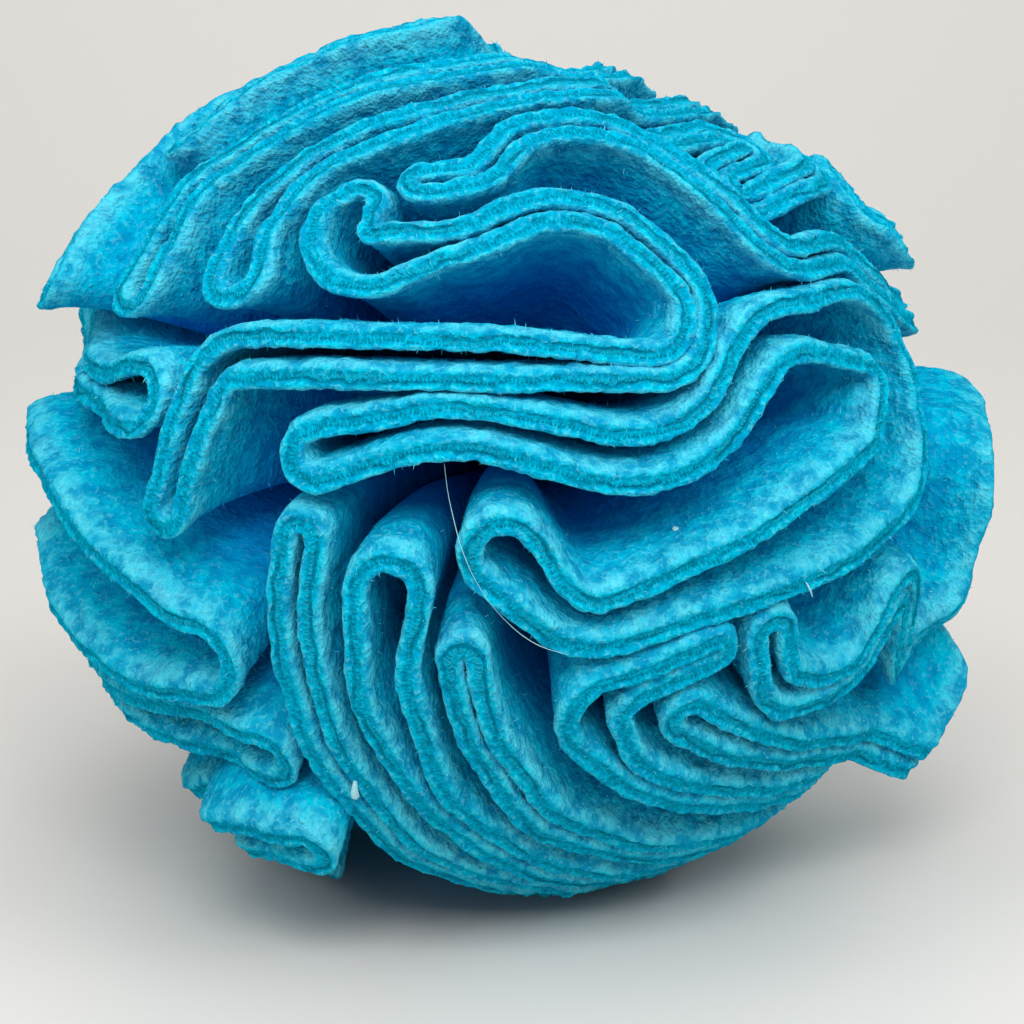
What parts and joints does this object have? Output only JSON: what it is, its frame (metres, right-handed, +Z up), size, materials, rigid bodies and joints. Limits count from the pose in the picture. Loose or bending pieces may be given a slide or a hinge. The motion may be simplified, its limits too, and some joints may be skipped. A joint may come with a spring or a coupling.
{
  "type": "dog snuffle ball",
  "caption": "Ball of folded fleece rounds gathered at their middles, whose ruffled pockets hide treats for a dog to sniff out.",
  "frame": {"origin": "middle of the bounding box's bottom, on the flattened spot the ball rests on", "axes": "+X to the right along the longest extent, -Y to the front with the large flap, +Z up"},
  "size_m": [0.1196, 0.112, 0.1052],
  "materials": {
    "blue_fleece": "matte brushed pile on both faces, with the knitted ground showing along the cut edge"
  },
  "bodies": {
    "root": {"disc_crest": "blue_fleece", "disc_front_flap": "blue_fleece", "disc_left_back": "blue_fleece", "disc_left_band": "blue_fleece", "disc_left_pocket": "blue_fleece", "disc_left_ring": "blue_fleece", "disc_long_pocket": "blue_fleece", "disc_long_wave": "blue_fleece", "disc_low_lobe": "blue_fleece", "disc_low_sweep": "blue_fleece", "disc_lower_hook": "blue_fleece", "disc_narrow_slit": "blue_fleece", "disc_outer_ridge": "blue_fleece", "disc_pleats": "blue_fleece", "disc_right_flap": "blue_fleece", "disc_right_zigzag": "blue_fleece", "disc_shoulder": "blue_fleece", "disc_top": "blue_fleece", "disc_underneath": "blue_fleece"}
  },
  "joints": []
}
